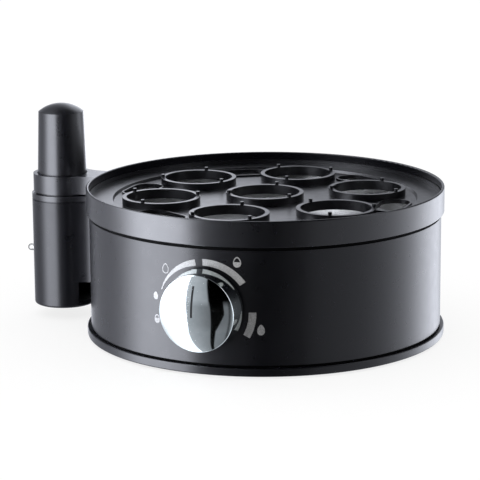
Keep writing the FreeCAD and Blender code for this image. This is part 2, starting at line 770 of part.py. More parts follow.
def make_bowl_tabs():
    """Lugs on the bowl's wall, bent out under the shelf so that they hold the bowl down."""
    body = new_body("bowl_tabs")
    near = BOWL_TOP + S.bowl_skin + S.slip
    far = SHELF_INNER + S.tab_reach

    def foot(sketch):
        draw_rectangle(sketch, near, -S.tab_half, far, S.tab_half)

    def leg(sketch):
        draw_rectangle(sketch, near, -S.tab_half, near + S.bowl_skin, S.tab_half)

    low = SHELF_LOW - S.bowl_skin
    parts = [pad(body, foot, low, SHELF_LOW), pad(body, leg, SHELF_LOW, SEAL_TOP)]
    repeat(body, parts, 4)
    keep(body, "bowl_tabs")


def make_heat_spreader():
    body = new_body("heat_spreader")
    turn(body, [(0, SPREADER_LOW), (S.spreader_radius, SPREADER_LOW),
                (S.spreader_radius, SPREADER_TOP), (0, SPREADER_TOP)])
    keep(body, "heat_spreader")


def element_ends():
    """Plan positions of the two ends, either side of +Y."""
    half_gap = math.radians((360 - number(S.element_sweep)) / 2)
    return [S.element_circle * (side * math.sin(half_gap)) for side in (-1, 1)], \
        S.element_circle * math.cos(half_gap)


def make_heating_element():
    ring = DOC.addObject("Part::Torus", "element_ring")
    bind(ring, "Radius1", S.element_circle)
    bind(ring, "Radius2", S.element_radius)
    bind(ring, "Angle3", S.element_sweep)
    start = Rotation(Vector(0, 0, 1), 90 + (360 - number(S.element_sweep)) / 2)
    place(ring, 0, 0, ELEMENT_LEVEL, start)
    pieces = [ring]
    sides, back = element_ends()
    for side in sides:
        bend = DOC.addObject("Part::Sphere", "element_bend")
        bind(bend, "Radius", S.element_radius)
        place(bend, side, back, ELEMENT_LEVEL)
        leg = DOC.addObject("Part::Cylinder", "element_leg")
        bind(leg, "Radius", S.element_radius)
        bind(leg, "Height", S.element_drop)
        place(leg, side, back, ELEMENT_LEVEL - S.element_drop)
        pieces += [bend, leg]
    element = DOC.addObject("Part::MultiFuse", "heating_element")
    element.Shapes = pieces
    keep(element, "heating_element")


def make_element_pins():
    body = new_body("element_pins")
    sides, back = element_ends()

    def draw(sketch):
        for side in sides:
            draw_circle(sketch, side, back, S.pin_radius)

    top = ELEMENT_LEVEL - S.element_drop
    pad(body, draw, top - S.pin_length, top)
    keep(body, "element_pins")


def make_thermostat():
    body = new_body("thermostat")
    cap_low = SPREADER_LOW - S.thermostat_cap
    low = cap_low - S.thermostat_body
    rim = S.thermostat_radius
    body_radius = rim - S.thermostat_inset
    turn(body, [(0, low), (body_radius, low), (body_radius, cap_low), (rim, cap_low),
                (rim, SPREADER_LOW), (0, SPREADER_LOW)])

    def blades(sketch):
        for side in (-1, 1):
            centre = side * S.blade_spread
            draw_rectangle(sketch, centre - S.blade_skin / 2, -S.blade_wide / 2,
                           centre + S.blade_skin / 2, S.blade_wide / 2)

    pad(body, blades, low - S.blade_length, low)
    keep(body, "thermostat")


def make_thermostat_strap():
    """Spring strap that presses the thermostat against the heat spreader."""
    body = new_body("thermostat_strap")
    low = SPREADER_LOW - S.thermostat_cap - S.strap_skin
    inner = S.thermostat_radius + 2
    foot = SPREADER_LOW - S.strap_skin
    sketch = new_sketch(body, "XZ_Plane", -S.strap_width / 2)
    draw_outline(sketch, [
        (-S.strap_reach, foot), (-inner - S.strap_skin, foot), (-inner - S.strap_skin, low),
        (inner + S.strap_skin, low), (inner + S.strap_skin, foot), (S.strap_reach, foot),
        (S.strap_reach, SPREADER_LOW), (inner, SPREADER_LOW), (inner, low + S.strap_skin),
        (-inner, low + S.strap_skin), (-inner, SPREADER_LOW), (-S.strap_reach, SPREADER_LOW)])
    feature = body.newObject("PartDesign::Pad", "thermostat_strap_pad")
    feature.Profile = sketch
    bind(feature, "Length", S.strap_width)
    cut(body, lambda sketch: draw_circle(sketch, 0, 0,
                                         S.thermostat_radius - S.thermostat_inset + S.slip),
        SPREADER_LOW, S.thermostat_cap + S.strap_skin * 2)
    cut(body, lambda sketch: [draw_circle(sketch, side * S.stud_spread, 0, S.stud_radius + S.slip)
                              for side in (-1, 1)], SPREADER_LOW, S.strap_skin)
    keep(body, "thermostat_strap")


def make_strap_nuts():
    """Weld studs on the spreader with their nuts."""
    body = new_body("strap_nuts")
    seat = SPREADER_LOW - S.strap_skin

    def circles(radius):
        def draw(sketch):
            for side in (-1, 1):
                draw_circle(sketch, side * S.stud_spread, 0, radius)
        return draw

    pad(body, circles(S.nut_radius), seat - S.nut_height, seat)
    pad(body, circles(S.stud_radius), seat - S.nut_height - 2, SPREADER_LOW)
    keep(body, "strap_nuts")


def make_thermal_fuse():
    body = new_body("thermal_fuse")
    end = S.fuse_half + S.fuse_lead
    lead = S.fuse_lead_radius
    turn(body, [(0, -end), (lead, -end), (lead, -S.fuse_half), (S.fuse_radius, -S.fuse_half),
                (S.fuse_radius, S.fuse_half), (lead, S.fuse_half), (lead, end), (0, end)])
    place(body, 0, -S.fuse_offset, SPREADER_LOW - S.fuse_radius, TO_TOWER_SIDE)
    keep(body, "thermal_fuse")


# ---------------------------------------------------------------- rotary control

def on_control_axis(body, label):
    place(body, 0, 0, S.knob_height, TO_FRONT)
    keep(body, label)


def make_knob_plate():
    """Round plate whose back is hollowed to the housing wall."""
    body = new_body("knob_plate")
    low = S.wall_radius - 4
    pad(body, lambda sketch: draw_circle(sketch, 0, 0, S.plate_radius), low, PLATE_FRONT)
    round_rims(body, 0.5, (S.plate_radius, PLATE_FRONT))
    cut(body, lambda sketch: draw_circle(sketch, 0, 0, S.bush_radius + S.slip), PLATE_FRONT,
        PLATE_FRONT - low)
    half = S.plate_radius + 2
    cut(body, lambda sketch: draw_circle(sketch, 0, 0, S.wall_radius + S.run_play),
        half, half * 2, "XZ_Plane")
    on_control_axis(body, "knob_plate")


def make_control_saddle():
    """Moulded spacer between the round wall and the flat front of the control."""
    body = new_body("control_saddle")
    wide, tall = S.control_width / 2 + 2, S.control_height / 2 - 1
    pad(body, lambda sketch: draw_rectangle(sketch, -wide, -tall, wide, tall),
        CONTROL_FRONT, S.wall_radius)
    cut(body, lambda sketch: draw_circle(sketch, 0, 0, S.bush_radius + S.slip),
        S.wall_radius, S.wall_radius - CONTROL_FRONT)

    def outside_wall(sketch):
        draw_circle(sketch, 0, 0, S.wall_radius + 10)
        draw_circle(sketch, 0, 0, WALL_INSIDE - S.run_play)

    cut(body, outside_wall, tall + 1, tall * 2 + 2, "XZ_Plane")
    on_control_axis(body, "control_saddle")


def make_control_bush():
    body = new_body("control_bush")
    bore = S.shaft_radius + S.run_play
    turn(body, [(bore, CONTROL_FRONT), (S.bush_radius, CONTROL_FRONT),
                (S.bush_radius, NUT_FRONT + 0.6), (bore, NUT_FRONT + 0.6)])
    on_control_axis(body, "control_bush")


def make_control_nut():
    body = new_body("control_nut")
    corner = S.hex_flat / math.sqrt(3)
    angles = [math.radians(60 * step) for step in range(6)]
    pad(body, lambda sketch: draw_outline(sketch, [(corner * math.cos(angle), corner * math.sin(angle))
                                                   for angle in angles]), PLATE_FRONT, NUT_FRONT)
    cut(body, lambda sketch: draw_circle(sketch, 0, 0, S.bush_radius + S.thread_play),
        NUT_FRONT, S.hex_height)
    on_control_axis(body, "control_nut")


def make_control_body():
    body = new_body("control_body")
    wide, tall = S.control_width / 2, S.control_height / 2
    pad(body, lambda sketch: draw_rectangle(sketch, -wide, -tall, wide, tall),
        CONTROL_BACK, CONTROL_FRONT)
    cut(body, lambda sketch: draw_circle(sketch, 0, 0, S.shaft_radius + S.run_play),
        CONTROL_FRONT, CONTROL_FRONT - SHAFT_BACK + S.lift)
    on_control_axis(body, "control_body")


def make_control_shaft():
    body = new_body("control_shaft")
    turn(body, [(0, SHAFT_BACK), (S.shaft_radius, SHAFT_BACK), (S.shaft_radius, SHAFT_FRONT),
                (0, SHAFT_FRONT)])
    cut(body, lambda sketch: draw_rectangle(sketch, -S.shaft_radius - 1, S.shaft_flat,
                                            S.shaft_radius + 1, S.shaft_radius + 1),
        SHAFT_FRONT, SHAFT_FRONT - HUB_BACK)
    on_control_axis(body, "control_shaft")


def make_knob_core():
    body = new_body("knob_core")
    bore = S.shaft_radius + S.thread_play
    well = S.hex_flat * 0.65
    socket = SHAFT_FRONT + S.lift
    turn(body, [
        (well, CAP_BACK), (CORE_RADIUS, CAP_BACK),
        (CORE_RADIUS, CORE_EDGE, dome(CORE_RADIUS, S.cap_dome), 1), (0, CORE_EDGE + S.cap_dome),
        (0, socket), (bore, socket), (bore, HUB_BACK), (well, HUB_BACK)])
    key = S.shaft_flat + S.thread_play
    pad(body, lambda sketch: draw_rectangle(sketch, -2.4, key, 2.4, bore + 0.6), HUB_BACK, socket)
    on_control_axis(body, "knob_core")


def make_knob_cap():
    """Bright domed cap over the knob core, with a slot for the pointer."""
    body = new_body("knob_cap")
    inner_edge = CAP_EDGE - S.cap_skin
    turn(body, [
        (CAP_INSIDE, CAP_BACK), (S.knob_back_radius, CAP_BACK),
        (S.knob_radius, CAP_EDGE, dome(S.knob_radius, S.cap_dome), 1), (0, CAP_FRONT),
        (0, inner_edge + S.cap_dome, dome(CAP_INSIDE, S.cap_dome), -1), (CAP_INSIDE, inner_edge)])
    round_rims(body, S.cap_round, (S.knob_radius, CAP_EDGE))
    half = S.pointer_width / 2
    cut(body, lambda sketch: draw_rectangle(sketch, -half, -S.pointer_tail, half, S.pointer_reach),
        CAP_FRONT, CAP_FRONT - CORE_EDGE)
    on_control_axis(body, "knob_cap")


def make_knob_pointer():
    """Dark bar in the slot; it lies on the core's dome and ends a little below the cap's face."""
    body = new_body("knob_pointer")
    face = CAP_EDGE - S.pointer_sunk
    turn(body, [
        (0, CORE_EDGE + S.cap_dome, dome(CORE_RADIUS, S.cap_dome), -1), (CORE_RADIUS, CORE_EDGE),
        (S.knob_radius, face, dome(S.knob_radius, S.cap_dome), 1), (0, face + S.cap_dome)])
    half = S.pointer_width / 2 - 0.02

    def around_strip(sketch):
        draw_circle(sketch, 0, 0, S.knob_radius + 1)
        draw_rectangle(sketch, -half, -S.pointer_tail + 0.02, half, S.pointer_reach - 0.02)

    cut(body, around_strip, CAP_FRONT, CAP_FRONT - CORE_EDGE + 1)
    on_control_axis(body, "knob_pointer")


def make_control_board():
    body = new_body("control_board")
    pad(body, lambda sketch: draw_rectangle(sketch, -S.board_half, -CONTROL_BACK, S.board_half,
                                            -BOARD_BACK), S.board_low, S.board_top)
    keep(body, "control_board")


def board_part(label, left, low, right, high, depth):
    """Block soldered to the board's rear, given by its outline seen from the rear."""
    body = new_body(label)
    pad(body, lambda sketch: draw_rectangle(sketch, left, -BOARD_BACK, right, -BOARD_BACK + depth),
        low, high)
    keep(body, label)


def make_board_parts():
    board_part("relay", -18, S.board_low + 8, 1, S.board_low + 23, 15)
    board_part("board_connector", 4, S.board_low + 4, 20, S.board_low + 13, 8)
    buzzer = new_body("buzzer")
    turn(buzzer, [(S.buzzer_hole, 0), (S.buzzer_radius, 0), (S.buzzer_radius, S.buzzer_height),
                  (S.buzzer_hole, S.buzzer_height)])
    place(buzzer, S.board_half - S.buzzer_inset, -BOARD_BACK, S.board_low + S.buzzer_raise, TO_BACK)
    keep(buzzer, "buzzer")


# ---------------------------------------------------------------- mains side

def make_cord_gland():
    body = new_body("cord_gland")
    inner = S.wall_radius - S.gland_depth
    barb = WALL_INSIDE - 0.5
    hook = S.gland_neck + S.gland_hook
    front = S.wall_radius + S.gland_reach
    turn(body, [
        (S.gland_bore, inner), (S.gland_neck, inner), (S.gland_neck, barb - 2), (hook, barb - 1),
        (hook, barb), (S.gland_neck, barb), (S.gland_neck, S.wall_radius),
        (S.gland_flange, S.wall_radius), (S.gland_flange, front), (S.gland_bore, front)])
    place(body, 0, 0, S.gland_height, TO_BACK)
    keep(body, "cord_gland")


def make_terminal_block():
    body = new_body("terminal_block")
    pad(body, lambda sketch: draw_rectangle(sketch, -S.block_half, BLOCK_FRONT, S.block_half,
                                            BLOCK_FRONT + S.block_deep), BLOCK_LOW, BLOCK_TOP)
    cut(body, lambda sketch: [draw_circle(sketch, side * LUG_PLACE, BLOCK_PLACE, SCREW_HOLE)
                              for side in (-1, 1)], BLOCK_TOP, S.block_tall)
    cut(body, lambda sketch: [draw_circle(sketch, pole, BLOCK_PLACE, 2) for pole in POLES],
        BLOCK_TOP, 4)
    keep(body, "terminal_block")


def make_block_screws():
    body = new_body("block_screws")

    def circles(radius):
        def draw(sketch):
            for side in (-1, 1):
                draw_circle(sketch, side * LUG_PLACE, BLOCK_PLACE, radius)
        return draw

    pad(body, circles(2.6), BLOCK_TOP, BLOCK_TOP + 1.8)
    pad(body, circles(S.shank_radius), FLOOR_TOP + 1, BLOCK_TOP)
    keep(body, "block_screws")


def make_terminal_screws():
    body = new_body("terminal_screws")
    pad(body, lambda sketch: [draw_circle(sketch, pole, BLOCK_PLACE, 2 - S.slip) for pole in POLES],
        BLOCK_TOP - 4, BLOCK_TOP - 1)
    keep(body, "terminal_screws")


def rounded_path(points):
    """Straight runs through the points, joined by tangent arcs."""
    edges = []
    start = points[0]
    for before, corner, after in zip(points, points[1:], points[2:]):
        reach = 0.45 * min((corner - before).Length, (after - corner).Length)
        into = (corner - before).normalize()
        out = (after - corner).normalize()
        turn_angle = into.getAngle(out)
        radius = reach / math.tan(turn_angle / 2)
        middle = corner + (out - into).normalize() * (radius / math.cos(turn_angle / 2) - radius)
        first, last = corner - into * reach, corner + out * reach
        edges.append(Part.LineSegment(start, first).toShape())
        edges.append(Part.Arc(first, middle, last).toShape())
        start = last
    edges.append(Part.LineSegment(start, points[-1]).toShape())
    return Part.Wire(edges)


def make_wire(label, points, radius):
    """Insulated lead from end to end of its route."""
    route = [Vector(*(number(size) for size in point)) for point in points]
    path = rounded_path(route)
    section = Part.Wire([Part.makeCircle(number(radius), route[0], route[1] - route[0])])
    lead = DOC.addObject("Part::Feature", label)
    lead.Shape = path.makePipeShell([section], True, False)
    keep(lead, label)


def make_wires():
    sides, back = element_ends()
    entry = BLOCK_LOW + 4.5
    pin_low = ELEMENT_LEVEL - S.element_drop - S.pin_length
    blade_low = SPREADER_LOW - S.thermostat_cap - S.thermostat_body - S.blade_length
    connector_face = -BOARD_BACK + 8
    relay_face = -BOARD_BACK + 15
    relay_level = S.board_low + 14
    connector_level = S.board_low + 8.5
    radius = S.wire_radius
    make_wire("live_wire", [
        (POLES[0], BLOCK_FRONT, entry), (POLES[0], BLOCK_FRONT - 10, entry),
        (POLES[0] - 4, 22, entry + 2), (-S.blade_spread, 6, entry + 5), (-S.blade_spread, 0, blade_low - 4),
        (-S.blade_spread, 0, blade_low)], radius)
    make_wire("heater_wire", [
        (S.blade_spread, 0, blade_low), (S.blade_spread, 0, blade_low - 5), (11, 14, blade_low - 9),
        (sides[1], back - 5, pin_low - 7), (sides[1], back, pin_low - 4), (sides[1], back, pin_low)], radius)
    make_wire("return_wire", [
        (sides[0], back, pin_low), (sides[0], back, pin_low - 5), (sides[0] - 4, back - 8, pin_low - 9),
        (-(S.board_half + 4), 2, 11), (4 - S.board_half, -28, 12), (-12, relay_face + 7, relay_level),
        (-12, relay_face, relay_level)], radius)
    make_wire("neutral_wire", [
        (POLES[2], BLOCK_FRONT, entry), (POLES[2], BLOCK_FRONT - 9, entry), (22, 24, entry - 2),
        (S.board_half, 0, 10), (S.board_half - 4, -30, 12), (12, connector_face + 9, connector_level),
        (12, connector_face, connector_level)], radius)
    make_wire("earth_wire", [
        (POLES[1], BLOCK_FRONT, entry), (POLES[1], BLOCK_FRONT - 9, entry), (1, 30, 22), (0, 27, 32),
        (0, 27, EARTH_LOW)], radius)
    tower = -TOWER_OFFSET
    make_wire("pilot_lead", [
        (-14, relay_face, relay_level + 7), (-14, relay_face + 6, relay_level + 7),
        (6 - S.board_half, -34, 30), (-(S.board_half + 12), -18, 32), (20.8 - WALL_INSIDE, -4, 36),
        (8.8 - WALL_INSIDE, 0, S.lead_height),
        (tower + 13, 0, S.lead_height), (tower + 3, 5, S.lead_height - 1),
        (tower - 2, 0, S.lens_height), (tower - LAMP_BACK, 0, S.lens_height)], radius * 0.8)


def make_earth_stud():
    body = new_body("earth_stud")
    turn(body, [(0, EARTH_LOW), (S.nut_radius, EARTH_LOW), (S.nut_radius, EARTH_LOW + 2.4),
                (S.stud_radius, EARTH_LOW + 2.4), (S.stud_radius, SPREADER_LOW), (0, SPREADER_LOW)])
    place(body, 0, 27, 0)
    keep(body, "earth_stud")


# ---------------------------------------------------------------- side tower

def on_tower_axis(body, label):
    place(body, -TOWER_OFFSET, 0, 0)
    keep(body, label)


def draw_arm(radius, inset=0.0):
    """Plan of an arm whose hollow sides leave a round post and end level with each other."""
    root = square_root(radius * radius - S.web_root * S.web_root)
    run = TOWER_OFFSET - RING_RADIUS - S.web_root
    narrowing = root - S.web_half
    sweep = (run * run + narrowing * narrowing) / (2 * narrowing)
    end = S.web_root + run
    half, root = S.web_half - inset, root - inset

    def draw(sketch):
        draw_outline(sketch, [
            (S.web_root, -root, sweep, -1), (end, -half), (end + WEB_OVERRUN, -half),
            (end + WEB_OVERRUN, half), (end, half, sweep, -1), (S.web_root, root)])
    return draw


def clear_bore(body, radius, low, top):
    """Take the web's root out of the round bore again."""
    cut(body, lambda sketch: draw_circle(sketch, 0, 0, radius), top, top - low)


def clear_housing(body, radius, low, top):
    """Hollow the end of an arm to a cylinder about the housing axis."""
    cut(body, lambda sketch: draw_circle(sketch, TOWER_OFFSET, 0, radius + S.run_play), top, top - low)


def make_tower_tube():
    body = new_body("tower_tube")
    inside, outside = TUBE_INSIDE, S.tube_radius
    groove_low = S.groove_height - S.groove_tall / 2
    groove_top = S.groove_height + S.groove_tall / 2
    groove = outside - S.groove_deep
    turn(body, [
        (inside, S.tube_bottom), (outside, S.tube_bottom), (outside, groove_low), (groove, groove_low),
        (groove, groove_top), (outside, groove_top), (outside, S.tube_top), (inside, S.tube_top)])
    round_rims(body, S.tube_round, (outside, S.tube_bottom))
    full = draw_arm(outside)
    pad(body, full, S.web_bottom, groove_low)
    pad(body, draw_arm(outside, S.groove_deep), groove_low, groove_top)
    pad(body, full, groove_top, S.tube_top)
    clear_bore(body, inside, S.web_bottom, S.tube_top)
    clear_housing(body, S.wall_radius, S.web_bottom, S.tube_top)
    clear_housing(body, RING_RADIUS, RING_LOW - S.slip, S.tube_top)
    cut(body, lambda sketch: draw_rectangle(sketch, 0, -S.notch_half, outside + 1, S.notch_half),
        S.web_bottom, S.web_bottom - S.tube_bottom - S.notch_sill)
    screw_from = TOWER_OFFSET - S.wall_radius + 1

    def pilots(sketch):
        for level in TOWER_SCREWS:
            draw_circle(sketch, 0, level, PILOT_HOLE)

    cut(body, pilots, screw_from, S.shank_length - S.wall_skin + 1.5, "YZ_Plane")
    cut(body, lambda sketch: draw_circle(sketch, 0, S.lead_height, S.lead_hole),
        screw_from, screw_from - inside + 1, "YZ_Plane")
    cut(body, lambda sketch: draw_circle(sketch, 0, S.lens_height, S.lens_radius + S.run_play),
        -inside + 1, S.tube_skin + 2, "YZ_Plane")
    on_tower_axis(body, "tower_tube")


def make_tower_plug():
    body = new_body("tower_plug")
    low = S.tube_bottom + 1
    turn(body, [(0, low), (SPIGOT_RADIUS, low), (SPIGOT_RADIUS, low + S.plug_skin),
                (0, low + S.plug_skin)])
    on_tower_axis(body, "tower_plug")


def make_tower_screws():
    body = new_body("tower_screws")
    head = WALL_INSIDE - 0.3

    def circles(radius):
        def draw(sketch):
            for level in TOWER_SCREWS:
                draw_circle(sketch, level, 0, radius)
        return draw

    pad(body, circles(S.head_radius), head - S.head_height, head)
    pad(body, circles(S.shank_radius), head, head + S.shank_length)
    place(body, 0, 0, 0, TO_TOWER_SIDE)
    keep(body, "tower_screws")


def make_tower_collar():
    body = new_body("tower_collar")
    gap_top = S.tube_top + S.collar_gap
    gap_inside = S.collar_radius - S.gap_deep
    ledge = GRIP_INSIDE + S.slip
    turn(body, [
        (ledge, COLLAR_LOW), (SPIGOT_RADIUS, COLLAR_LOW), (SPIGOT_RADIUS, S.tube_top),
        (gap_inside, S.tube_top), (gap_inside, gap_top), (S.collar_radius, gap_top),
        (S.collar_radius, S.collar_top), (COLLAR_BORE, S.collar_top), (COLLAR_BORE, LEDGE_TOP),
        (ledge, LEDGE_TOP)])
    pad(body, draw_arm(S.collar_radius), gap_top, S.collar_top)
    clear_bore(body, COLLAR_BORE, gap_top, S.collar_top)
    clear_housing(body, RING_RADIUS, gap_top, S.collar_top)
    on_tower_axis(body, "tower_collar")


# ---------------------------------------------------------------- egg pricker

def make_pricker_grip():
    body = new_body("pricker_grip")
    inside_top = S.grip_top_radius - S.grip_skin
    turn(body, [
        (GRIP_INSIDE, GRIP_LOW), (S.grip_radius, GRIP_LOW), (S.grip_radius, S.collar_top),
        (S.grip_top_radius, S.grip_top), (inside_top, S.grip_top), (GRIP_INSIDE, S.collar_top)])
    on_tower_axis(body, "pricker_grip")


def make_pricker_cap():
    body = new_body("pricker_cap")
    spigot = S.grip_top_radius - S.grip_skin - S.slip
    rim = S.grip_top_radius
    turn(body, [
        (0, S.grip_top - 4), (spigot, S.grip_top - 4), (spigot, S.grip_top),
        (rim, S.grip_top, dome(rim, S.dome_height), 1), (0, S.grip_top + S.dome_height)])
    on_tower_axis(body, "pricker_cap")


def make_needle_holder():
    body = new_body("needle_holder")
    disc = GRIP_INSIDE - S.slip
    low = GRIP_LOW
    bore = S.needle_radius + S.thread_play
    turn(body, [
        (bore, low - 4), (3, low - 4), (4, low), (disc, low), (disc, HOLDER_TOP), (0, HOLDER_TOP),
        (0, HOLDER_TOP - 1), (bore, HOLDER_TOP - 1)])
    on_tower_axis(body, "needle_holder")


def make_needle():
    body = new_body("needle")
    top = HOLDER_TOP - 1
    low = top - S.needle_length
    turn(body, [(0, low), (S.needle_radius, low + 2.5), (S.needle_radius, top), (0, top)])
    on_tower_axis(body, "needle")


# ---------------------------------------------------------------- pilot lamp

def on_lamp_axis(body, label):
    place(body, -TOWER_OFFSET, 0, S.lens_height, TO_TOWER_SIDE)
    keep(body, label)


def make_pilot_lens():
    body = new_body("pilot_lens")
    seat = TUBE_INSIDE - 0.3
    shoulder = S.tube_radius + S.lens_reach - S.lens_radius
    turn(body, [
        (0, seat - 0.8), (S.lens_radius + 0.9, seat - 0.8), (S.lens_radius + 0.9, seat),
        (S.lens_radius, seat), (S.lens_radius, shoulder, S.lens_radius, 1),
        (0, shoulder + S.lens_radius)])
    on_lamp_axis(body, "pilot_lens")


def make_pilot_lamp():
    body = new_body("pilot_lamp")
    front = TUBE_INSIDE - 0.3 - 0.8
    turn(body, [(0, LAMP_BACK), (2.4, LAMP_BACK), (2.4, LAMP_BACK + 1), (1.9, LAMP_BACK + 1),
                (1.9, front - S.slip), (0, front - S.slip)])
    on_lamp_axis(body, "pilot_lamp")


def build():
    make_foot_ring()
    make_base_plate()
    make_base_screws()
    make_housing_wall()
    make_rear_panel()
    make_seam_bands()
    make_top_ring()
    make_egg_tray()
    make_bowl_seal()
    make_heating_bowl()
    make_bowl_tabs()
    make_heat_spreader()
    make_heating_element()
    make_element_pins()
    make_thermostat()
    make_thermostat_strap()
    make_strap_nuts()
    make_thermal_fuse()
    make_earth_stud()
    make_knob_plate()
    make_control_saddle()
    make_control_bush()
    make_control_nut()
    make_control_body()
    make_control_shaft()
    make_knob_core()
    make_knob_cap()
    make_knob_pointer()
    make_control_board()
    make_board_parts()
    make_cord_gland()
    make_terminal_block()
    make_block_screws()
    make_terminal_screws()
    make_tower_tube()
    make_tower_plug()
    make_tower_screws()
    make_tower_collar()
    make_pricker_grip()
    make_pricker_cap()
    make_needle_holder()
    make_needle()
    make_pilot_lens()
    make_pilot_lamp()
    make_wires()


def check():
    """Stop if an object failed, a cut removed nothing or a sub-part is not a sound solid."""
    for thing in DOC.Objects:
        if {"Invalid", "Error"} & set(thing.State):
            raise RuntimeError(f"{thing.Label} failed to compute: {thing.State}")
    for feature in CUTS:
        if feature.BaseFeature.Shape.Volume - feature.Shape.Volume < 0.01:
            raise RuntimeError(f"{feature.Label} removes nothing")
    for node in NODES:
        if node.Shape.isNull() or not node.Shape.isValid() or not node.Shape.Solids:
            raise RuntimeError(f"{node.Label} is not a sound solid")


def export():
    os.makedirs("parts", exist_ok=True)
    for node in NODES:
        node.Shape.exportStep(f"parts/{node.Label}.step")
        print(f"{node.Label:20s} {len(node.Shape.Solids):2d} solids {node.Shape.Volume:10.1f} mm3")


build()
DOC.recompute()
check()
export()
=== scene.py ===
"""Dressed egg boiler: satin black shells, a chrome rotary knob, printed egg dial and a soft studio."""

import bmesh
import bpy
import math
from mathutils import Matrix, Vector


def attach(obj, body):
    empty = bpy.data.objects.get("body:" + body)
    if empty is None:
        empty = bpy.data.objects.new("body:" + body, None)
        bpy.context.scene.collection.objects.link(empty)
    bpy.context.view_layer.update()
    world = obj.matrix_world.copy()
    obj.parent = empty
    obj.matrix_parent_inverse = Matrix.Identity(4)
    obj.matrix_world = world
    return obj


MM = 0.001

# where the housing's gloss changes, the gloss of wall and ring, and the share of it kept inside the rim and
# on the tower, where turning the gloss down is painted shade
WALL_RADIUS = 84.0 * MM
UPPER_SHELLS = 59.5 * MM
RIM_INSIDE = (60.0 * MM, 60.2 * MM)
TOWER_SIDE = -90.0 * MM
WALL_GLOSS, RING_GLOSS = 0.4, 0.62
RIM_PAINTED_SHADE, TOWER_PAINTED_SHADE = 0.2, 0.78

# the dial printed round the knob, on the housing wall
PRINT_PROUD = 0.05 * MM
PRINT_SUNK = 0.10 * MM
# heights over which the print turns lighter and more metallic: a painted highlight on its upper part
PRINT_HIGHLIGHT_HEIGHTS = (32.0 * MM, 37.0 * MM)
DIAL_MIDDLE = (0.4 * MM, 31.0 * MM)
LOW_ARC_MIDDLE = (0.76 * MM, 29.6 * MM)

# camera
CAMERA_TURN, CAMERA_TILT, CAMERA_ROLL = (math.radians(angle) for angle in (19.8, 12.669, 0.413))
CAMERA_AWAY, CAMERA_AIM, CAMERA_ASIDE = 1.0702, 0.04465, -0.01208
SENSOR, LENS = 36.0, 167.325
NEAREST_SEEN, FARTHEST_SEEN = 0.05, 20

# floor
FLOOR_RADIUS, FLOOR_SIDES = 4, 60
FLOOR_GLOW = 0.8
FLOOR_EXTRA = 0.02

# studio dome that glossy rays meet: pairs of compass angle and brightness; 0 is the front, right is positive
DOME_RADIUS = 0.3
# at the part's lower half and a little under the floor
LOW_SURROUNDINGS = (
    (-180, 0.7), (-165, 1.5), (-150, 4.0), (-135, 3.0), (-122, 0.8), (-103, 0.65), (-82, 1.0), (-72, 1.8),
    (-64, 5.0), (-54, 11.0), (-22, 11.0), (-20, 0.46), (-2, 0.3), (6, 0.22), (12, 0.17), (37, 0.17),
    (40, 0.0), (44, 0.5), (77, 0.85), (94, 1.4), (112, 2.6), (128, 4.7), (150, 4.0), (165, 1.2), (180, 0.7),
)
# well under the floor
LOWEST_SURROUNDINGS = (
    (-180, 0.7), (-150, 1.2), (-122, 0.8), (-103, 0.6), (-82, 0.8), (-64, 1.5), (-54, 2.0), (-22, 2.0),
    (-20, 0.5), (-2, 0.35), (12, 0.25), (37, 0.2), (40, 0.0), (44, 0.5), (77, 0.8), (112, 1.2),
    (165, 0.9), (180, 0.7),
)
# from the part's upper half up
HIGH_SURROUNDINGS = (
    (-180, 0.8), (-168, 0.8), (-158, 1.2), (-148, 2.2), (-135, 2.2), (-122, 0.8), (-103, 0.5), (-82, 1.0),
    (-72, 1.8), (-64, 5.0), (-54, 11.0), (-22, 11.0), (-20, 0.6), (-1, 0.45), (11, 0.35), (12, 0.0),
    (72, 0.0), (80, 1.5), (105, 1.5), (113, 0.2), (155, 0.2), (172, 0.6), (180, 0.8),
)
# dark gap right of the front, the lean of everything with height, and the heights between which bands blend;
# heights are shares of the dome's radius
GAP_START, GAP_ENDS, GAP_HEIGHTS = 13.0, (20.0, 31.0), (-0.42, 0.0)
LEAN_LEAST, LEAN_GROWTH, LEAN_HEIGHT = 1.0, 12.0, -0.1
LOW_FROM, HIGH_FROM, OVERHEAD_FROM = (-0.42, -0.24), (0.18, 0.32), (0.8, 0.9)
OVERHEAD = 0.15
REFLECTED_TINT = (0.875, 0.905, 1.0)


# ---------------------------------------------------------------- building blocks

def new_material(name):
    material = bpy.data.materials.new(name)
    material.use_nodes = True
    return material, material.node_tree, material.node_tree.nodes["Principled BSDF"]


def empty_material(name):
    """Material without any shader, for the studio's own surfaces."""
    material = bpy.data.materials.new(name)
    material.use_nodes = True
    material.node_tree.nodes.clear()
    return material, material.node_tree


def place(tree, stretch=(1, 1, 1)):
    """Position in the part's own frame, in metres, stretched."""
    point = tree.nodes.new("ShaderNodeTexCoord").outputs["Object"]
    mapping = tree.nodes.new("ShaderNodeMapping")
    mapping.inputs["Scale"].default_value = stretch
    tree.links.new(point, mapping.inputs["Vector"])
    return mapping.outputs["Vector"]


def split_place(tree, stretch=(1, 1, 1)):
    """X, Y and Z of that position."""
    split = tree.nodes.new("ShaderNodeSeparateXYZ")
    tree.links.new(place(tree, stretch), split.inputs[0])
    return split.outputs


def noise(tree, grain, detail=2.0, point=None, stretch=(1, 1, 1)):
    """Noise from 0 to 1 whose patches are about one grain across, in metres, at a point or by place."""
    node = tree.nodes.new("ShaderNodeTexNoise")
    node.inputs["Scale"].default_value = 1 / grain
    node.inputs["Detail"].default_value = detail
    tree.links.new(point or place(tree, stretch), node.inputs["Vector"])
    return node.outputs["Fac"]


def cells(tree, size):
    """Random colour for each cell of a speckled surface."""
    node = tree.nodes.new("ShaderNodeTexVoronoi")
    node.inputs["Scale"].default_value = 1 / size
    tree.links.new(place(tree), node.inputs["Vector"])
    return node.outputs["Color"]


def feed(tree, socket, value):
    """Give a socket a number, or link another node's output to it."""
    if isinstance(value, (int, float)):
        socket.default_value = value
    else:
        tree.links.new(value, socket)


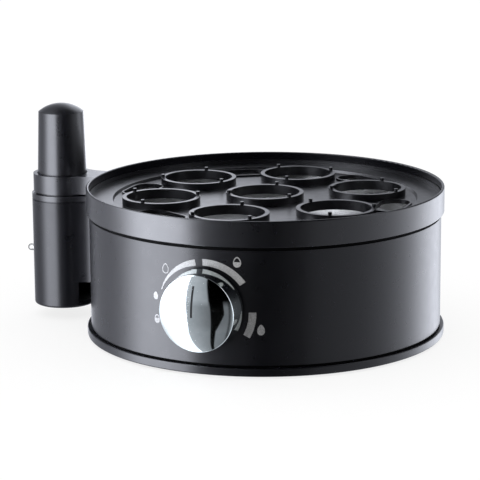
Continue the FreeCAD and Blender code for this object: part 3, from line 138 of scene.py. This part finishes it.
def calculate(tree, operation, first, second=0.0):
    node = tree.nodes.new("ShaderNodeMath")
    node.operation = operation
    for socket, value in zip(node.inputs, (first, second)):
        feed(tree, socket, value)
    return node.outputs[0]


def blend_values(tree, share, first, second):
    """The first value where share is 0, the second where it is 1."""
    node = tree.nodes.new("ShaderNodeMix")
    for name, value in (("Factor", share), ("A", first), ("B", second)):
        feed(tree, node.inputs[name], value)
    return node.outputs["Result"]


def across(tree, first, second):
    """Length of the vector that two coordinates make."""
    squares = [calculate(tree, "MULTIPLY", side, side) for side in (first, second)]
    return calculate(tree, "SQRT", calculate(tree, "ADD", *squares))


def between(tree, value, low, high, start=0.3, end=0.7):
    """Map a value that runs from start to end onto low to high."""
    node = tree.nodes.new("ShaderNodeMapRange")
    tree.links.new(value, node.inputs["Value"])
    for name, number in (("From Min", start), ("From Max", end), ("To Min", low), ("To Max", high)):
        node.inputs[name].default_value = number
    return node.outputs["Result"]


def ramp(tree, value, stops):
    """Colour ramp through (place, colour) stops."""
    node = tree.nodes.new("ShaderNodeValToRGB")
    band = node.color_ramp
    while len(band.elements) < len(stops):
        band.elements.new(0.5)
    for element, (position, colour) in zip(band.elements, stops):
        element.position = position
        element.color = (*colour, 1)
    tree.links.new(value, node.inputs["Fac"])
    return node.outputs["Color"]


def around_axis(tree):
    """Distance from the upright axis through the part's origin, and height, for ring-shaped patterns."""
    spot = split_place(tree)
    ring = tree.nodes.new("ShaderNodeCombineXYZ")
    tree.links.new(across(tree, spot["X"], spot["Y"]), ring.inputs["X"])
    tree.links.new(spot["Z"], ring.inputs["Y"])
    return ring.outputs[0]


def dent(tree, shader, height, depth):
    """Bump the surface by a height pattern that is depth metres deep."""
    node = tree.nodes.new("ShaderNodeBump")
    node.inputs["Distance"].default_value = depth
    tree.links.new(height, node.inputs["Height"])
    tree.links.new(node.outputs["Normal"], shader.inputs["Normal"])


def finish_sockets(shader, **values):
    """Set the shader's inputs by name, with _ for each space."""
    for name, value in values.items():
        shader.inputs[name.replace("_", " ")].default_value = value


def uneven_colour(tree, shader, pattern, colour, spread):
    """Base colour that drifts with a pattern, darker and lighter by that share."""
    darker = [part * (1 - spread) for part in colour]
    lighter = [min(part * (1 + spread), 1) for part in colour]
    tree.links.new(ramp(tree, pattern, ((0.3, darker), (0.7, lighter))), shader.inputs["Base Color"])


def add_object(name, mesh):
    """Put a finished mesh into the scene."""
    data = bpy.data.meshes.new(name)
    mesh.to_mesh(data)
    mesh.free()
    added = bpy.data.objects.new(name, data)
    bpy.context.scene.collection.objects.link(added)
    return added


# ---------------------------------------------------------------- materials

def moulded(name, colour, rough, grain=0.25 * MM, depth=0.004 * MM, gloss=0.5, spread=0.25):
    """Moulded plastic: uneven sheen, slight tone drift and the fine skin of the mould."""
    material, tree, shader = new_material(name)
    uneven_colour(tree, shader, noise(tree, 18 * MM, 3.0), colour, spread)
    sheen = noise(tree, 5 * MM, 1.0)
    tree.links.new(between(tree, sheen, rough * 0.94, rough * 1.06), shader.inputs["Roughness"])
    dent(tree, shader, noise(tree, grain, 2.0), depth)
    finish_sockets(shader, Specular_IOR_Level=gloss)
    return material


def housing_plastic(colour):
    """Satin black of the housing: glossier on the top ring; its gloss turned down inside the rim and on the
    tower is painted shade.
    """
    material = moulded("housing_black", colour, 0.29, grain=0.6 * MM, depth=0.0006 * MM, spread=0.1)
    tree = material.node_tree
    spot = split_place(tree)
    upper = between(tree, spot["Z"], WALL_GLOSS, RING_GLOSS, UPPER_SHELLS, UPPER_SHELLS + 0.1 * MM)
    # painted shade: the tower and the inside of the rim keep only a share of the gloss, which stands in for
    # the softbox light that reaches them less
    tower = between(tree, spot["X"], TOWER_PAINTED_SHADE, 1.0, TOWER_SIDE, TOWER_SIDE + 3 * MM)
    inside = between(tree, across(tree, spot["X"], spot["Y"]), RIM_PAINTED_SHADE, 1.0,
                     WALL_RADIUS + 0.05 * MM, WALL_RADIUS + 0.4 * MM)
    inside = blend_values(tree, between(tree, spot["Z"], 0.0, 1.0, *RIM_INSIDE), 1.0, inside)
    painted_shade = calculate(tree, "MULTIPLY", tower, inside)
    tree.links.new(calculate(tree, "MULTIPLY", upper, painted_shade),
                   tree.nodes["Principled BSDF"].inputs["Specular IOR Level"])
    return material


def metal(name, colour, rough, depth=0.002 * MM):
    """Plain metal: blotchy tone, uneven roughness and fine marks."""
    material, tree, shader = new_material(name)
    uneven_colour(tree, shader, noise(tree, 4 * MM, 4.0), colour, 0.1)
    marks = noise(tree, 0.5 * MM, 3.0)
    tree.links.new(between(tree, marks, rough * 0.75, rough * 1.25), shader.inputs["Roughness"])
    dent(tree, shader, marks, depth)
    finish_sockets(shader, Metallic=1.0)
    return material


def turned(name, colour, rough):
    """Spun or turned metal: rings round the upright axis, stretched highlights and dull patches."""
    material, tree, shader = new_material(name)
    rings = noise(tree, 0.25 * MM, 2.0, point=around_axis(tree))
    stain = noise(tree, 9 * MM, 4.0)
    darker = [part * 0.86 for part in colour]
    tree.links.new(ramp(tree, stain, ((0.3, darker), (0.65, colour))), shader.inputs["Base Color"])
    tree.links.new(between(tree, rings, rough * 0.7, rough * 1.3), shader.inputs["Roughness"])
    dent(tree, shader, rings, 0.003 * MM)
    tangent = tree.nodes.new("ShaderNodeTangent")
    tangent.direction_type = "RADIAL"
    tangent.axis = "Z"
    tree.links.new(tangent.outputs["Tangent"], shader.inputs["Tangent"])
    finish_sockets(shader, Metallic=1.0, Anisotropic=0.6)
    return material


def chrome():
    """Plated cap: mirror bright with hairline scratches and a faint haze."""
    material, tree, shader = new_material("knob_chrome")
    haze = noise(tree, 3 * MM, 2.0)
    tree.links.new(ramp(tree, haze, ((0.3, (0.80, 0.88, 0.87)), (0.7, (0.87, 0.93, 0.92)))),
                   shader.inputs["Base Color"])
    scratches = noise(tree, 0.9 * MM, 2.0, stretch=(1, 1, 14))
    tree.links.new(between(tree, scratches, 0.05, 0.085), shader.inputs["Roughness"])
    dent(tree, shader, haze, 0.0004 * MM)
    finish_sockets(shader, Metallic=1.0)
    return material


def tinted_tube():
    """Steel sheath of the element, blued and browned by heat."""
    material, tree, shader = new_material("element_tube")
    tint = ramp(tree, noise(tree, 7 * MM, 4.0), (
        (0.25, (0.20, 0.19, 0.18)), (0.45, (0.36, 0.30, 0.22)), (0.6, (0.24, 0.24, 0.30)),
        (0.8, (0.40, 0.39, 0.37)),
    ))
    tree.links.new(tint, shader.inputs["Base Color"])
    scale = noise(tree, 0.5 * MM, 4.0)
    tree.links.new(between(tree, scale, 0.36, 0.6), shader.inputs["Roughness"])
    dent(tree, shader, scale, 0.006 * MM)
    finish_sockets(shader, Metallic=0.9)
    return material


def woven_sleeve():
    """Glass-fibre sleeve of the thermal fuse, a fine diagonal braid."""
    material, tree, shader = new_material("fuse_sleeve")
    strands = []
    for lean in (1, -1):
        wave = tree.nodes.new("ShaderNodeTexWave")
        wave.inputs["Scale"].default_value = 900
        wave.inputs["Distortion"].default_value = 0.6
        tree.links.new(place(tree, (1, lean, 1)), wave.inputs["Vector"])
        strands.append(wave.outputs["Fac"])
    braid = calculate(tree, "MAXIMUM", *strands)
    tree.links.new(ramp(tree, braid, ((0.2, (0.50, 0.48, 0.42)), (0.9, (0.80, 0.79, 0.73)))),
                   shader.inputs["Base Color"])
    tree.links.new(between(tree, noise(tree, 0.4 * MM), 0.7, 0.9), shader.inputs["Roughness"])
    dent(tree, shader, braid, 0.05 * MM)
    return material


def laminate():
    """Circuit board: green solder resist over the paler lines of its tracks."""
    material, tree, shader = new_material("board_laminate")
    tracks = tree.nodes.new("ShaderNodeTexBrick")
    tracks.inputs["Scale"].default_value = 90
    tracks.inputs["Mortar Size"].default_value = 0.06
    tracks.inputs["Color1"].default_value = (0.05, 0.17, 0.07, 1)
    tracks.inputs["Color2"].default_value = (0.06, 0.20, 0.08, 1)
    tracks.inputs["Mortar"].default_value = (0.10, 0.30, 0.12, 1)
    swap = tree.nodes.new("ShaderNodeMapping")
    swap.inputs["Rotation"].default_value = (math.pi / 2, 0, 0)
    tree.links.new(place(tree), swap.inputs["Vector"])
    tree.links.new(swap.outputs["Vector"], tracks.inputs["Vector"])
    tree.links.new(tracks.outputs["Color"], shader.inputs["Base Color"])
    tree.links.new(between(tree, noise(tree, 1.5 * MM, 4.0), 0.25, 0.42), shader.inputs["Roughness"])
    dent(tree, shader, tracks.outputs["Fac"], 0.02 * MM)
    return material


def clear_lens():
    """Polished clear plastic with a slight ripple; its colour darkens towards the edges as seen, a painted
    shade.
    """
    material, tree, shader = new_material("lens_clear")
    ripple = noise(tree, 1.2 * MM, 2.0)
    # painted shade: the base colour runs from white where the lens faces the view to near black at its edges
    painted_edge_shade = tree.nodes.new("ShaderNodeLayerWeight")
    painted_edge_shade.inputs["Blend"].default_value = 0.5
    tree.links.new(ramp(tree, painted_edge_shade.outputs["Facing"], (
        (0.08, (0.96, 0.97, 0.98)), (0.3, (0.30, 0.305, 0.31)), (0.55, (0.03, 0.031, 0.033)))),
        shader.inputs["Base Color"])
    tree.links.new(between(tree, ripple, 0.02, 0.06), shader.inputs["Roughness"])
    dent(tree, shader, ripple, 0.01 * MM)
    finish_sockets(shader, Transmission_Weight=0.9, IOR=1.49)
    return material


def silver_print():
    """Screen-printed silver ink: metal flakes in a rough binder, lighter and more metallic towards the top as
    a painted highlight.
    """
    material, tree, shader = new_material("silver_print")
    flakes = cells(tree, 0.28 * MM)
    tone = tree.nodes.new("ShaderNodeSeparateColor")
    tree.links.new(flakes, tone.inputs["Color"])
    # painted highlight: above these heights the print is lighter and more metallic, where the softbox light
    # falls on it
    upper = between(tree, split_place(tree)["Z"], 0.0, 1.0, *PRINT_HIGHLIGHT_HEIGHTS)
    grey = blend_values(tree, upper, between(tree, tone.outputs["Red"], 0.16, 0.30, 0.0, 1.0),
                        between(tree, tone.outputs["Red"], 0.28, 0.46, 0.0, 1.0))
    tree.links.new(grey, shader.inputs["Base Color"])
    tree.links.new(between(tree, tone.outputs["Green"], 0.34, 0.62, 0.0, 1.0), shader.inputs["Roughness"])
    dent(tree, shader, tone.outputs["Blue"], 0.004 * MM)
    tree.links.new(blend_values(tree, upper, 0.43, 0.22), shader.inputs["Metallic"])
    return material


def make_materials():
    return {
        "housing_black": housing_plastic((0.0018, 0.0018, 0.003)),
        "tray_black": moulded("tray_black", (0.003, 0.003, 0.004), 0.3, grain=0.6 * MM, depth=0.0006 * MM,
                              gloss=0.48, spread=0.1),
        "foot_rubber": moulded("foot_rubber", (0.025, 0.025, 0.026), 0.8, grain=0.4 * MM, depth=0.03 * MM,
                               gloss=0.3),
        # painted shade: the seam band is a near lightless, hardly glossy black that stands in for the shadow
        # in the seam gaps
        "seam_rubber": moulded("seam_rubber", (0.0008, 0.0008, 0.0009), 0.7, gloss=0.04),
        "seal_silicone": moulded("seal_silicone", (0.55, 0.54, 0.51), 0.45, gloss=0.4),
        "bowl_steel": turned("bowl_steel", (0.44, 0.44, 0.43), 0.34),
        "plain_steel": metal("plain_steel", (0.56, 0.56, 0.54), 0.38),
        "spreader_aluminium": metal("spreader_aluminium", (0.72, 0.72, 0.73), 0.5, depth=0.02 * MM),
        "element_tube": tinted_tube(),
        "brass": turned("brass", (0.72, 0.55, 0.27), 0.3),
        "knob_chrome": chrome(),
        "dark_plastic": moulded("dark_plastic", (0.008, 0.009, 0.01), 0.5, gloss=0.2),
        "thermostat_ceramic": moulded("thermostat_ceramic", (0.52, 0.47, 0.41), 0.7, depth=0.015 * MM),
        "fuse_sleeve": woven_sleeve(),
        "board_laminate": laminate(),
        "relay_case": moulded("relay_case", (0.05, 0.11, 0.30), 0.36),
        "block_nylon": moulded("block_nylon", (0.80, 0.79, 0.74), 0.5),
        "lens_clear": clear_lens(),
        "lamp_red": moulded("lamp_red", (0.55, 0.05, 0.03), 0.3),
        "wire_brown": moulded("wire_brown", (0.20, 0.09, 0.045), 0.4),
        "wire_blue": moulded("wire_blue", (0.03, 0.11, 0.42), 0.4),
        "wire_green": moulded("wire_green", (0.22, 0.40, 0.06), 0.4),
        "wire_white": moulded("wire_white", (0.72, 0.71, 0.69), 0.4),
        "silver_print": silver_print(),
    }


# ---------------------------------------------------------------- printed dial

def on_wall(x, z, proud):
    """A point of the flat artwork laid on the round wall, proud of it by that much."""
    stretch = 1 + proud / WALL_RADIUS
    return Vector((x * stretch, -math.sqrt(WALL_RADIUS ** 2 - x ** 2) * stretch, z))


def lay_print(name, rows, closed=False):
    """A thin solid of ink over a grid of artwork points; closed rows join the last one to the first."""
    mesh = bmesh.new()
    faces = [[[mesh.verts.new(on_wall(x, z, proud)) for x, z in row] for row in rows]
             for proud in (PRINT_PROUD, -PRINT_SUNK)]
    front, back = faces
    count, across = len(rows), len(rows[0])
    for index in range(count if closed else count - 1):
        following = (index + 1) % count
        for side in range(across - 1):
            corners = [(index, side), (index, side + 1), (following, side + 1), (following, side)]
            mesh.faces.new([front[row][column] for row, column in corners])
            mesh.faces.new([back[row][column] for row, column in reversed(corners)])
        for side in (0, across - 1):
            mesh.faces.new((front[index][side], front[following][side],
                            back[following][side], back[index][side]))
    if not closed:
        for end in (0, count - 1):
            for side in range(across - 1):
                mesh.faces.new((front[end][side], front[end][side + 1], back[end][side + 1], back[end][side]))
    bmesh.ops.recalc_face_normals(mesh, faces=mesh.faces)
    piece = add_object(name, mesh)
    piece.data.materials.append(MATERIALS["silver_print"])
    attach(piece, "base")


def sweep(name, start, end, inner, outer, middle=DIAL_MIDDLE, thin_start=1.0):
    """An arc of the dial from one angle to another, in degrees; thin_start is its share of width there."""
    steps = max(4, round(abs(end - start) / 1.5))
    rows = []
    for index in range(steps + 1):
        share = index / steps
        angle = math.radians(start + (end - start) * share)
        low = outer - (outer - inner) * (thin_start + (1 - thin_start) * share)
        rows.append([(middle[0] + math.cos(angle) * radius, middle[1] + math.sin(angle) * radius)
                     for radius in (low + (outer - low) * side / 4 for side in range(5))])
    lay_print(name, rows)


def egg_point(middle, half_width, half_height, angle, share=1.0):
    """A point of an egg's outline, blunt end down, shrunk to a share of its size."""
    x = half_width * math.cos(angle) * (1 - 0.2 * math.sin(angle)) * share
    return middle[0] + x, middle[1] + half_height * math.sin(angle) * share


def egg_ring(name, middle, half_width, half_height, width):
    """The outline of an egg, that wide."""
    share = 1 - width / half_width
    rows = [[egg_point(middle, half_width, half_height, math.radians(7.5 * index), side)
             for side in (share, (1 + share) / 2, 1)] for index in range(48)]
    lay_print(name, rows, closed=True)


def egg_fill(name, middle, half_width, half_height, low=-86, high=86):
    """A filled egg, or the band of it between two latitudes in degrees."""
    steps = 24
    rows = []
    for index in range(steps + 1):
        angle = math.radians(low + (high - low) * index / steps)
        right = egg_point(middle, half_width, half_height, angle)
        reach = right[0] - middle[0]
        rows.append([(middle[0] + reach * (side / 4 - 1), right[1]) for side in range(9)])
    lay_print(name, rows)


def half_egg(name, middle, half_width, half_height, width, filled_to):
    """An egg's outline, that wide, filled up to a latitude in degrees."""
    inside = 1 - width / half_width
    egg_ring(name, middle, half_width, half_height, width)
    egg_fill(name + "_fill", middle, half_width * inside, half_height * inside, high=filled_to)


def print_dial():
    inner, outer = 19.83 * MM, 22.87 * MM
    sweep("dial_arc_left", 162.5, 101.5, inner, outer, thin_start=0.12)
    sweep("dial_arc_top", 92.2, 35.4, inner, outer)
    sweep("dial_arc_low", 2, -29, 19.6 * MM, outer, LOW_ARC_MIDDLE)
    egg_ring("dial_egg_open", (-19.0 * MM, 47.7 * MM), 1.6 * MM, 2.3 * MM, 0.26 * MM)
    egg_fill("dial_egg_small", (-24.4 * MM, 34.5 * MM), 1.15 * MM, 1.85 * MM)
    half_egg("dial_egg_left", (-23.9 * MM, 23.8 * MM), 1.4 * MM, 2.1 * MM, 0.35 * MM, 10)
    half_egg("dial_egg_half", (15.4 * MM, 53.2 * MM), 1.75 * MM, 2.4 * MM, 0.42 * MM, 0)
    egg_fill("dial_egg_full", (25.6 * MM, 22.3 * MM), 1.6 * MM, 2.4 * MM)


# ---------------------------------------------------------------- studio

def light_path(tree, *rays):
    """1 for any of the named kinds of ray."""
    path = tree.nodes.new("ShaderNodeLightPath")
    value = path.outputs[rays[0]]
    for ray in rays[1:]:
        value = calculate(tree, "MAXIMUM", value, path.outputs[ray])
    return value


def make_floor():
    """Pale floor that keeps a faint shadow; it is open to glossy rays and seen through from below."""
    mesh = bmesh.new()
    rim = [mesh.verts.new((FLOOR_RADIUS * math.cos(angle), FLOOR_RADIUS * math.sin(angle), 0))
           for angle in (math.radians(360 / FLOOR_SIDES * index) for index in range(FLOOR_SIDES))]
    mesh.faces.new(rim)
    floor = add_object("floor", mesh)
    material, tree = empty_material("pale_floor")
    output = tree.nodes.new("ShaderNodeOutputMaterial")
    glow, paint, both = (tree.nodes.new(f"ShaderNode{kind}")
                         for kind in ("Emission", "BsdfDiffuse", "AddShader"))
    glow.inputs["Strength"].default_value = FLOOR_GLOW
    paint.inputs["Color"].default_value = (1 - FLOOR_GLOW + FLOOR_EXTRA,) * 3 + (1,)
    open_floor, mixed = tree.nodes.new("ShaderNodeBsdfTransparent"), tree.nodes.new("ShaderNodeMixShader")
    under = tree.nodes.new("ShaderNodeNewGeometry").outputs["Backfacing"]
    tree.links.new(glow.outputs[0], both.inputs[0])
    tree.links.new(paint.outputs[0], both.inputs[1])
    tree.links.new(calculate(tree, "MAXIMUM", light_path(tree, "Is Glossy Ray"), under), mixed.inputs[0])
    tree.links.new(both.outputs[0], mixed.inputs[1])
    tree.links.new(open_floor.outputs[0], mixed.inputs[2])
    tree.links.new(mixed.outputs[0], output.inputs["Surface"])
    floor.data.materials.append(material)


def compass_band(tree, share, surroundings):
    """Brightness of the surroundings at a share of the full turn that starts behind the object."""
    brightest = max(level for _, level in surroundings)
    band = ramp(tree, share, [((angle + 180) / 360, (level / brightest,) * 3)
                              for angle, level in surroundings])
    return calculate(tree, "MULTIPLY", band, brightest)


def make_dome():
    """Round studio that only glossy rays meet: softbox left, pale behind, dim right, dark gap in front."""
    mesh = bmesh.new()
    bmesh.ops.create_uvsphere(mesh, u_segments=96, v_segments=48, radius=DOME_RADIUS)
    dome = add_object("studio_dome", mesh)
    dome.visible_camera = dome.visible_diffuse = dome.visible_transmission = dome.visible_shadow = False
    material, tree = empty_material("studio_dome")
    material.cycles.emission_sampling = "NONE"
    spot = split_place(tree, (1 / DOME_RADIUS,) * 3)
    height = spot["Z"]
    rise = calculate(tree, "SUBTRACT", height, LEAN_HEIGHT)
    lean = calculate(tree, "ADD", LEAN_LEAST, calculate(
        tree, "MULTIPLY", calculate(tree, "MULTIPLY", rise, rise), LEAN_GROWTH))
    bearing = calculate(tree, "ARCTAN2", spot["X"], calculate(tree, "MULTIPLY", spot["Y"], -1.0))
    compass = calculate(tree, "ADD", calculate(tree, "MULTIPLY", bearing, math.degrees(1.0)), lean)
    share = between(tree, compass, 0.0, 1.0, -180.0, 180.0)
    lowest, low, high = (compass_band(tree, share, table) for table in (
        LOWEST_SURROUNDINGS, LOW_SURROUNDINGS, HIGH_SURROUNDINGS))
    around = blend_values(tree, between(tree, height, 0.0, 1.0, *LOW_FROM), lowest, low)
    around = blend_values(tree, between(tree, height, 0.0, 1.0, *HIGH_FROM), around, high)
    around = blend_values(tree, between(tree, height, 0.0, 1.0, *OVERHEAD_FROM), around, OVERHEAD)
    gap_end = between(tree, height, *GAP_ENDS, *GAP_HEIGHTS)
    past_gap = between(tree, calculate(tree, "SUBTRACT", compass, gap_end), 0.0, 1.0, 0.0, 1.0)
    before_gap = between(tree, compass, 1.0, 0.0, GAP_START - 0.5, GAP_START + 0.5)
    level = calculate(tree, "MULTIPLY", around, calculate(tree, "ADD", past_gap, before_gap))
    glow = tree.nodes.new("ShaderNodeEmission")
    glow.inputs["Color"].default_value = (*REFLECTED_TINT, 1)
    tree.links.new(level, glow.inputs["Strength"])
    tree.links.new(glow.outputs[0], tree.nodes.new("ShaderNodeOutputMaterial").inputs["Surface"])
    dome.data.materials.append(material)


def make_world():
    """Plain white light from all sides."""
    world = bpy.data.worlds.new("studio")
    bpy.context.scene.world = world
    world.use_nodes = True
    world.cycles.sampling_method = "NONE"
    background = world.node_tree.nodes["Background"]
    background.inputs["Color"].default_value = (1, 1, 1, 1)
    background.inputs["Strength"].default_value = 1.0


def make_camera():
    """A long lens at the right of the front and a little above."""
    ahead_flat = Vector((-math.sin(CAMERA_TURN), math.cos(CAMERA_TURN), 0))
    level = Vector((math.cos(CAMERA_TURN), math.sin(CAMERA_TURN), 0))
    upright = Vector((0, 0, 1))
    ahead = ahead_flat * math.cos(CAMERA_TILT) - upright * math.sin(CAMERA_TILT)
    over = ahead_flat * math.sin(CAMERA_TILT) + upright * math.cos(CAMERA_TILT)
    right, over = (level * math.cos(CAMERA_ROLL) - over * math.sin(CAMERA_ROLL),
                   over * math.cos(CAMERA_ROLL) + level * math.sin(CAMERA_ROLL))
    data = bpy.data.cameras.new("camera")
    data.sensor_width, data.lens = SENSOR, LENS
    data.clip_start, data.clip_end = NEAREST_SEEN, FARTHEST_SEEN
    camera = bpy.data.objects.new("camera", data)
    spot = upright * CAMERA_AIM + level * CAMERA_ASIDE - ahead * CAMERA_AWAY
    camera.matrix_world = Matrix((
        (right.x, over.x, -ahead.x, spot.x), (right.y, over.y, -ahead.y, spot.y),
        (right.z, over.z, -ahead.z, spot.z), (0, 0, 0, 1),
    ))
    bpy.context.scene.collection.objects.link(camera)
    bpy.context.scene.camera = camera


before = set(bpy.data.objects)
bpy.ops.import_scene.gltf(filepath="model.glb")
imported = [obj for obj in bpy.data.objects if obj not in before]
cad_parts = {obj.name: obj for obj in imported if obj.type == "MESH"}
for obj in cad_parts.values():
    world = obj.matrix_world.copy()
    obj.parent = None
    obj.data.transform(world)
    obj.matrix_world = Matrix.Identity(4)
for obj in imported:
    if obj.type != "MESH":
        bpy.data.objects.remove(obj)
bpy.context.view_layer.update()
MATERIALS = make_materials()
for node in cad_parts.values():
    for holder in node.material_slots:
        holder.material = MATERIALS[holder.material.name.split(".")[0]]
print_dial()
make_floor()
make_dome()
make_world()
make_camera()
bpy.context.scene.view_settings.view_transform = "Standard"
